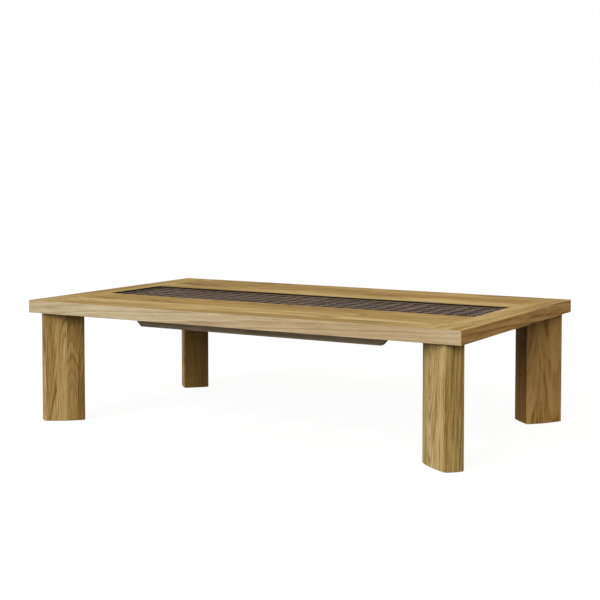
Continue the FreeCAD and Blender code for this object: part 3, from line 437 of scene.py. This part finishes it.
def wood(name, kind, cut, centre):
    """Solid wood of one piece, with its rings, streaks, fibres and pores running along the grain."""
    shader = Shader(name)
    place = shader.place_from(centre)
    run = shader.dot(place, cut.grain)
    side = shader.dot(place, cut.across)
    depth = shader.dot(place, cut.grain.cross(cut.across))
    piece_tone = cut.tone
    pith_side = cut.pith_side
    apart = cut.seed
    if cut.tones:
        piece_tone, pith_side, apart = staves(shader, cut, side)
    # Painted shade: faces turned to the width's direction are darkened by the turned tone
    if cut.turned:
        painted_shade_tone = shader.span(shader.facing(cut.across), *TURNED_SHADE_RANGE, 0.0, cut.turned)
        piece_tone = shader.total(painted_shade_tone, piece_tone)

    def drawn_out(noise):
        """Noise that is drawn out along the grain."""
        along = shader.total(shader.scaled(run, noise.share, noise.shift), apart)
        return shader.noise(shader.point(along, shader.math("ADD", side, apart), depth), noise)

    def spread(noise, to_high=1.0):
        """Drawn out noise with its own range spread from 0 up to this value."""
        return shader.span(drawn_out(noise), noise.low, noise.high, 0.0, to_high)

    beside = shader.math("SUBTRACT", side, pith_side)
    below = shader.total(depth, shader.scaled(run, cut.lean, -cut.pith_depth))
    radius = shader.math("SQRT", shader.total(shader.square(beside), shader.square(below)))
    wave = shader.scaled(drawn_out(WAVE), cut.wave)
    ripple = shader.scaled(drawn_out(RIPPLE), RIPPLE_HEIGHT)
    rings = shader.total(shader.scaled(shader.total(radius, wave, ripple), 1 / RING_SPACING), apart)
    ring_chance = shader.chance(shader.math("FLOOR", rings))
    ring_strength = shader.scaled(ring_chance, 1 - LEAST_RING_SHARE, LEAST_RING_SHARE)
    ring = shader.math("MULTIPLY", shader.curve(shader.math("FRACT", rings), RING_STOPS), ring_strength)
    band = shader.line_noise(shader.scaled(rings, BAND_RATE, cut.seed), BAND_DETAIL, BAND_ROUGHNESS)
    band = shader.span(band, *BAND_RANGE)

    fibre = spread(FIBRE)
    streak = spread(STREAK)
    pore_share = shader.span(ring, 0.0, PORE_RING_LEVEL, PORE_BETWEEN_SHARE, 1.0)
    pore = shader.math("MULTIPLY", spread(PORE), pore_share)

    tone = shader.total(
        shader.swing(band, kind.band, MIDDLE_TONE),
        piece_tone,
        shader.swing(spread(BROAD), kind.broad),
        shader.swing(streak, STREAK_SHARE * kind.fibre),
        shader.swing(fibre, kind.fibre),
        shader.scaled(ring, -kind.ring),
    )
    colour = shader.ramp(tone, [(0.0, kind.deep), (0.5, kind.middle), (1.0, kind.pale)])
    colour = shader.mix(spread(WARMTH, cut.warmth), colour, kind.amber)
    colour = shader.mix(shader.scaled(pore, kind.pore), colour, kind.deep, blend="MULTIPLY")
    end_grain = shader.span(shader.facing(cut.grain), *END_GRAIN_RANGE, 0.0, kind.end_share)
    colour = shader.mix(end_grain, colour, kind.end)
    # Painted shade: upright sides are darkened towards the deep colour, and faces that look up are left as
    # they are
    if kind.flank:
        flank = shader.span(shader.facing(UPWARD), *SIDE_SHADE_RANGE, kind.flank, 0.0)
        colour = shader.mix(flank, colour, kind.deep)

    relief = shader.total(
        shader.scaled(pore, -PORE_DIP_SHARE),
        shader.scaled(ring, -RING_DIP_SHARE),
        shader.scaled(fibre, FIBRE_RISE_SHARE),
    )
    return shader.surface(
        Base_Color=colour,
        Roughness=shader.total(
            shader.scaled(ring, RING_ROUGHNESS, CLEAR_ROUGHNESS),
            shader.scaled(pore, PORE_ROUGHNESS),
            shader.scaled(streak, STREAK_ROUGHNESS),
        ),
        Specular_IOR_Level=kind.gloss,
        Normal=shader.bump(relief, GRAIN_DEPTH, GRAIN_STRENGTH),
    )


# Glass: the rim is measured inwards from the edge, and the rim's near-black colour is painted shade.
GLASS_FACE = srgb(96, 100, 90)
GLASS_RIM_SHADE = srgb(14, 10, 4)
GLASS_RIM = 0.0009
GLASS_ALPHA = 0.02
GLASS_GLOSS = 0.5
SMEAR = Noise(scale=9.0, detail=4.0)
SMEAR_RANGE = (0.3, 0.8)
SMEAR_ROUGHNESS = (0.03, 0.09)


def glass(name, node):
    """Clear float glass: its faces let the light through, and its rim and edges are painted near black, as
    painted shade for the shaded recess wall behind them.
    """
    shader = Shader(name)
    low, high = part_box(node)
    half = (high - low) / 2
    place = shader.place_from((low + high) / 2)

    def rim(direction, reach):
        """1 at the two edges that lie this far out in a direction, and 0 inside the rim."""
        out = shader.math("ABSOLUTE", shader.dot(place, direction))
        return shader.span(out, reach - GLASS_RIM, reach - GLASS_RIM / 2)

    # Painted shade: inside the rim the glass is opaque and near black
    edge = shader.math("MAXIMUM", rim(ALONG, half.x), rim(BACKWARD, half.y))
    smear = shader.noise(shader.place(), SMEAR)
    return shader.surface(
        Base_Color=shader.mix(edge, GLASS_FACE, GLASS_RIM_SHADE),
        Roughness=shader.span(smear, *SMEAR_RANGE, *SMEAR_ROUGHNESS),
        Specular_IOR_Level=GLASS_GLOSS,
        Alpha=shader.span(edge, 0.0, 1.0, GLASS_ALPHA, 1.0),
    )


# Plywood: the grain and the clouds add up to a tone, and the two colours stand at the ends of its range.
PLY_GRAIN = Noise(scale=240.0, detail=4.0, roughness=0.6)
PLY_CLOUD = Noise(scale=6.0, detail=2.0)
PLY_SHARES = (0.05, 1.0, 1.0)
PLY_GRAIN_SHARE = 0.8
PLY_CLOUD_SHARE = 0.4
PLY_TONE_SHIFT = -0.1
PLY_DEEP_TONE = 0.2
PLY_PALE_TONE = 0.9
PLY_ROUGHNESS = (0.55, 0.75)
PLY_GLOSS = 0.2
PLY_RELIEF = 0.0002


def plywood(name, deep, pale):
    """Plywood under the lattice, with its grain along the table, in the colours that it is given."""
    shader = Shader(name)
    place = shader.place()
    grain = shader.noise(shader.squeezed(place, PLY_SHARES), PLY_GRAIN)
    cloud = shader.scaled(shader.noise(place, PLY_CLOUD), PLY_CLOUD_SHARE, PLY_TONE_SHIFT)
    tone = shader.total(shader.scaled(grain, PLY_GRAIN_SHARE), cloud)
    return shader.surface(
        Base_Color=shader.ramp(tone, [(PLY_DEEP_TONE, deep), (PLY_PALE_TONE, pale)]),
        Roughness=shader.span(grain, *USUAL_RANGE, *PLY_ROUGHNESS),
        Specular_IOR_Level=PLY_GLOSS,
        Normal=shader.bump(grain, PLY_RELIEF),
    )


# Metal: its clouds run from the deep colour to the pale one, and its scratches along X.
CLOUD_DETAIL = 4.0
CLOUD_ROUGHNESS = 0.6
CLOUD_DEEP_TONE = 0.25
CLOUD_PALE_TONE = 0.75
SCRATCH = Noise(scale=1800.0, detail=2.0)
SCRATCH_SHARES = (0.1, 1.0, 0.6)
SCRATCH_DEPTH = 0.00004
SCRATCH_STRENGTH = 0.5


def metal(name, deep, pale, roughness, cloud_scale):
    """Plated or plain metal with a cloudy surface and fine scratches."""
    shader = Shader(name)
    place = shader.place()
    cloud_noise = Noise(scale=cloud_scale, detail=CLOUD_DETAIL, roughness=CLOUD_ROUGHNESS)
    cloud = shader.noise(place, cloud_noise)
    scratch = shader.noise(shader.squeezed(place, SCRATCH_SHARES), SCRATCH)
    return shader.surface(
        Base_Color=shader.ramp(cloud, [(CLOUD_DEEP_TONE, deep), (CLOUD_PALE_TONE, pale)]),
        Metallic=1.0,
        Roughness=shader.span(cloud, *USUAL_RANGE, *roughness),
        Normal=shader.bump(scratch, SCRATCH_DEPTH, SCRATCH_STRENGTH),
    )


# Felt: clumps and strands of fibres add up to its nap.
CLUMP = Noise(scale=420.0, detail=4.0, roughness=0.7, distortion=1.5)
STRAND = Noise(scale=2400.0, detail=2.0, distortion=2.0)
CLUMP_SHARE = 0.6
STRAND_SHARE = 0.4
NAP_DEEP_TONE = 0.3
NAP_PALE_TONE = 0.7
FELT_ROUGHNESS = (0.85, 1.0)
FELT_GLOSS = 0.1
FELT_SHEEN = 0.3
FELT_RELIEF = 0.0006


def felt(name, deep, pale):
    """Pressed felt: matted fibres with a soft nap."""
    shader = Shader(name)
    place = shader.place()
    clump = shader.scaled(shader.noise(place, CLUMP), CLUMP_SHARE)
    strand = shader.scaled(shader.noise(place, STRAND), STRAND_SHARE)
    nap = shader.total(clump, strand)
    return shader.surface(
        Base_Color=shader.ramp(nap, [(NAP_DEEP_TONE, deep), (NAP_PALE_TONE, pale)]),
        Roughness=shader.span(nap, *USUAL_RANGE, *FELT_ROUGHNESS),
        Specular_IOR_Level=FELT_GLOSS,
        Sheen_Weight=FELT_SHEEN,
        Normal=shader.bump(nap, FELT_RELIEF),
    )


# Soft plastic: half clear, with clouds in its roughness
BUMPER_CLOUD = Noise(scale=300.0, detail=2.0)
BUMPER_ROUGHNESS = (0.15, 0.30)
BUMPER_ALPHA = 0.5


def soft_plastic(name, colour):
    """Clear soft bumpers with a faint cloud."""
    shader = Shader(name)
    cloud = shader.noise(shader.place(), BUMPER_CLOUD)
    return shader.surface(
        Base_Color=colour,
        Roughness=shader.span(cloud, *USUAL_RANGE, *BUMPER_ROUGHNESS),
        Alpha=BUMPER_ALPHA,
    )


def dress(node, material):
    """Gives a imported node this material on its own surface."""
    for slot in nodes[node].material_slots:
        slot.material = material


def dress_wood(node, kind, cut):
    """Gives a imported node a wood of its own, centred on its box."""
    low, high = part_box(node)
    dress(node, wood("wood_" + node, kind, cut, (low + high) / 2))


# Boards of the top: the long boards' grain runs along the table, the end boards' across it.
BROAD_STAVE = 0.0917
NARROW_STAVE = 0.0688
END_STAVE = 0.0380
BOARDS = {
    "front_board": Cut(
        *LENGTHWISE, pith_side=0, pith_depth=-0.10, lean=0.030, seed=57.1,
        stave=NARROW_STAVE, tones=(0.01, 0.25, -0.04, -0.06),
    ),
    "back_board": Cut(
        *LENGTHWISE, pith_side=0, pith_depth=-0.11, lean=-0.026, seed=25.6, warmth=0.75,
        stave=BROAD_STAVE, tones=(0.05, -0.16, -0.01),
    ),
    "left_end_board": Cut(
        *CROSSWISE, pith_side=0, pith_depth=-0.09, lean=0.030, seed=154.3, warmth=0.12,
        stave=END_STAVE, tones=(-0.03, 0.02),
    ),
    "right_end_board": Cut(
        *CROSSWISE, pith_side=0, pith_depth=-0.10, lean=-0.030, seed=78.5, warmth=0.30,
        stave=END_STAVE, tones=(0.18, 0.02),
    ),
}
for board, board_cut in BOARDS.items():
    dress_wood(board, OAK, board_cut)

# Lippings on the four edges of the top: their grain runs along the edge.
LIPPINGS = {
    "front_lipping": Cut(
        ALONG, UPWARD, pith_side=-0.12, pith_depth=-0.11, lean=-0.060, seed=31.1, wave=0.012,
    ),
    "back_lipping": Cut(
        ALONG, UPWARD, pith_side=0.12, pith_depth=0.08, lean=-0.010, seed=37.9, wave=0.012, tone=-0.10,
    ),
    "left_lipping": Cut(
        BACKWARD, UPWARD, pith_side=0.11, pith_depth=-0.09, lean=0.012, seed=41.3, wave=0.010, tone=-0.06,
    ),
    "right_lipping": Cut(
        BACKWARD, UPWARD, pith_side=-0.11, pith_depth=0.08, lean=-0.070, seed=75.1, wave=0.010, tone=0.14,
        warmth=0.58,
    ),
}
for lipping, lipping_cut in LIPPINGS.items():
    dress_wood(lipping, RED_OAK if lipping == "right_lipping" else LIPPING_OAK, lipping_cut)

# Legs: the grain stands upright, and each leg is glued up of three or four staves side by side.
LEG_STAVE = 0.0385
NARROW_LEG_STAVE = 0.0300
# A leg's turned tone is painted shade on its two end faces: on the front right leg the outer end, which the
# light reaches less, and on the back right leg the inner end, in shade under the top.
LEGS = {
    # The front left leg's inner staves are darker partly as the wood's own tone and partly as painted
    # shade, where its face turns in under the top.
    "front_left_leg": Cut(
        UPWARD, DIAGONAL, pith_side=0, pith_depth=-0.080, lean=0.055, seed=53.1, wave=0.026, warmth=0.28,
        stave=NARROW_LEG_STAVE, tones=(0.00, 0.12, -0.12, -0.24),
    ),
    "front_right_leg": Cut(
        UPWARD, CROSS_DIAGONAL, pith_side=0, pith_depth=-0.08, lean=-0.07, seed=59.9, wave=0.026, tone=0.03,
        warmth=0.0, stave=LEG_STAVE, tones=(0.06, 0.14, 0.13), turned=-0.19,
    ),
    "back_right_leg": Cut(
        UPWARD, DIAGONAL, pith_side=0, pith_depth=0.11, lean=0.030, seed=122.1, wave=0.018, tone=0.34,
        warmth=0.50, stave=LEG_STAVE, tones=(0.02, 0.05, -0.03), turned=-0.60,
    ),
    "back_left_leg": Cut(
        UPWARD, CROSS_DIAGONAL, pith_side=0, pith_depth=0.08, lean=0.060, seed=249.8, wave=0.026,
        stave=LEG_STAVE, tones=(0.03, 0.0, -0.06),
    ),
}
for leg, leg_cut in LEGS.items():
    dress_wood(leg, RED_OAK if leg == "back_right_leg" else LEG_OAK, leg_cut)

# Underframe: the aprons' oak is painted lighter than its own colour as painted light under the top's
# overhang, and its end grain nearly black, partly stain and partly painted shade; what is hidden behind
# them is plain.
APRONS = {
    "front_apron": Cut(
        ALONG, UPWARD, pith_side=-0.12, pith_depth=-0.08, lean=0.010, seed=79.3, wave=0.010,
    ),
    "back_apron": Cut(
        ALONG, UPWARD, pith_side=0.12, pith_depth=0.08, lean=0.010, seed=83.9, wave=0.010,
    ),
}
for apron, apron_cut in APRONS.items():
    dress_wood(apron, LIGHTENED_APRON_OAK, apron_cut)
RAILS = {
    "left_cross_rail": CROSSWISE,
    "middle_cross_rail": CROSSWISE,
    "right_cross_rail": CROSSWISE,
    "left_ledger": CROSSWISE,
    "right_ledger": CROSSWISE,
    "front_ledger": LENGTHWISE,
    "back_ledger": LENGTHWISE,
}
TONGUES_AND_DOWELS = (
    "front_left_tongue",
    "front_right_tongue",
    "back_right_tongue",
    "back_left_tongue",
    "cross_rail_dowels",
)
HIDDEN_SEED = 89.1
SEED_STEP = 6.1
seed = HIDDEN_SEED
for rail, rail_directions in RAILS.items():
    rail_cut = Cut(*rail_directions, pith_side=0.01, pith_depth=-0.08, lean=0.012, seed=seed)
    dress_wood(rail, UNDERFRAME_OAK, rail_cut)
    seed += SEED_STEP
for joiner in TONGUES_AND_DOWELS:
    dress_wood(joiner, BEECH, Cut(*CROSSWISE, pith_side=0.01, pith_depth=-0.06, lean=0.010, seed=seed))
    seed += SEED_STEP

# Inset: the lattice with its frame, the panel below it and the glass above it
LATTICE = {
    "lattice_long_bars": (LENGTHWISE, 151.3),
    "lattice_cross_bars": (CROSSWISE, 157.7),
    "lattice_front_rail": (LENGTHWISE, 163.9),
    "lattice_back_rail": (LENGTHWISE, 163.9),
    "lattice_left_rail": (CROSSWISE, 169.3),
    "lattice_right_rail": (CROSSWISE, 169.3),
}
for slat, (slat_directions, slat_seed) in LATTICE.items():
    slat_cut = Cut(*slat_directions, pith_side=0.02, pith_depth=-0.07, lean=0.004, seed=slat_seed)
    dress_wood(slat, LATTICE_WOOD, slat_cut)
# The panel's near-black colours are painted shade at the foot of the recess under the lattice.
dress("inset_panel", plywood("plywood_painted_shade", deep=srgb(26, 19, 14), pale=srgb(50, 39, 30)))
dress("glass_panel", glass("float_glass", "glass_panel"))
dress("glass_bumpers", soft_plastic("soft_bumper", srgb(206, 210, 206)))

# Fittings
zinc = metal(
    "zinc_plate",
    deep=srgb(132, 134, 132),
    pale=srgb(186, 188, 184),
    roughness=(0.30, 0.48),
    cloud_scale=160.0,
)
steel = metal(
    "bright_steel",
    deep=srgb(148, 146, 138),
    pale=srgb(198, 194, 182),
    roughness=(0.24, 0.40),
    cloud_scale=500.0,
)
brass = metal(
    "turned_brass",
    deep=srgb(150, 116, 58),
    pale=srgb(206, 172, 100),
    roughness=(0.24, 0.38),
    cloud_scale=400.0,
)
brown_felt = felt("brown_felt", deep=srgb(60, 46, 34), pale=srgb(104, 82, 60))
for corner in ("front_left", "front_right", "back_right", "back_left"):
    dress(corner + "_leg_plate", zinc)
    dress(corner + "_foot_pad", brown_felt)
STEEL_FASTENERS = (
    "ledger_screws",
    "apron_screws",
    "cross_rail_screws",
    "leg_plate_screws",
    "leg_bolts",
    "leg_bolt_washers",
)
for fastener in STEEL_FASTENERS:
    dress(fastener, steel)
dress("leg_insert_nuts", brass)


# Studio
def make_world():
    """White where it is seen, and a plain fill light on the object that fades at the horizon."""
    world = bpy.data.worlds.new("studio")
    world.use_nodes = True
    build = Tree(world.node_tree)
    direction = build.node("ShaderNodeTexCoord", {}).outputs["Generated"]
    sky_inputs = {
        "Value": build.node("ShaderNodeSeparateXYZ", {0: direction}).outputs["Z"],
        "From Min": HORIZON_SINE,
        "From Max": SKY_SINE,
        "To Min": HORIZON_LEVEL,
        "To Max": SKY_LEVEL,
    }
    sky = build.node("ShaderNodeMapRange", sky_inputs, interpolation_type="SMOOTHSTEP").outputs[0]
    background = world.node_tree.nodes["Background"]
    build.feed(background.inputs["Color"], grey(1.0))
    build.feed(background.inputs["Strength"], build.span(build.seen_share(), 0.0, 1.0, sky, SEEN_LEVEL))
    scene.world = world


def make_floor():
    """A wide white floor that keeps a soft shadow of the table."""
    corners = [
        (-FLOOR_HALF, -FLOOR_HALF, -FLOOR_BELOW),
        (FLOOR_HALF, -FLOOR_HALF, -FLOOR_BELOW),
        (FLOOR_HALF, FLOOR_HALF, -FLOOR_BELOW),
        (-FLOOR_HALF, FLOOR_HALF, -FLOOR_BELOW),
    ]
    mesh = bpy.data.meshes.new("floor")
    mesh.from_pydata(corners, [], [(0, 1, 2, 3)])
    floor = bpy.data.objects.new("floor", mesh)
    scene.collection.objects.link(floor)
    shader = Shader("white_floor")
    glow = shader.node("ShaderNodeEmission", {"Strength": FLOOR_GLOW}).outputs[0]
    seen = shader.blend_shaders(FLOOR_SHADOW_SHARE, glow, shader.diffuse(FLOOR_ALBEDO))
    bounce = shader.diffuse(FLOOR_BOUNCE)
    mesh.materials.append(shader.end(shader.blend_shaders(shader.seen_share(), bounce, seen)))


def make_lamp(name, values):
    """A wide soft lamp, far away in the direction of its source."""
    data = bpy.data.lights.new(name, "SUN")
    data.energy = values.strength
    data.color = values.colour
    data.angle = math.radians(values.spread)
    lamp = bpy.data.objects.new(name, data)
    scene.collection.objects.link(lamp)
    lamp.rotation_mode = "QUATERNION"
    lamp.rotation_quaternion = values.source.to_track_quat("Z", "Y")


def make_camera():
    """The camera at its place, with its heading and pitch and with the frame shifted down."""
    data = bpy.data.cameras.new("camera")
    data.sensor_width = SENSOR_WIDTH
    data.lens = SENSOR_WIDTH * FOCAL_PIXELS / FRAME_PIXELS
    data.shift_y = FRAME_SHIFT_SHARE
    data.clip_start = CLIP_NEAR
    data.clip_end = CLIP_FAR
    camera = bpy.data.objects.new("camera", data)
    scene.collection.objects.link(camera)
    level = math.cos(CAMERA_PITCH)
    forward = Vector((
        math.cos(CAMERA_HEADING) * level,
        math.sin(CAMERA_HEADING) * level,
        -math.sin(CAMERA_PITCH),
    ))
    right = forward.cross(UPWARD).normalized()
    up = right.cross(forward)
    turn = Matrix((right, up, -forward)).transposed()
    camera.matrix_world = Matrix.Translation(CAMERA_PLACE) @ turn.to_4x4()
    scene.camera = camera


make_world()
make_floor()
for lamp_name, lamp_values in LAMPS.items():
    make_lamp(lamp_name, lamp_values)
make_camera()
scene.view_settings.view_transform = "Standard"
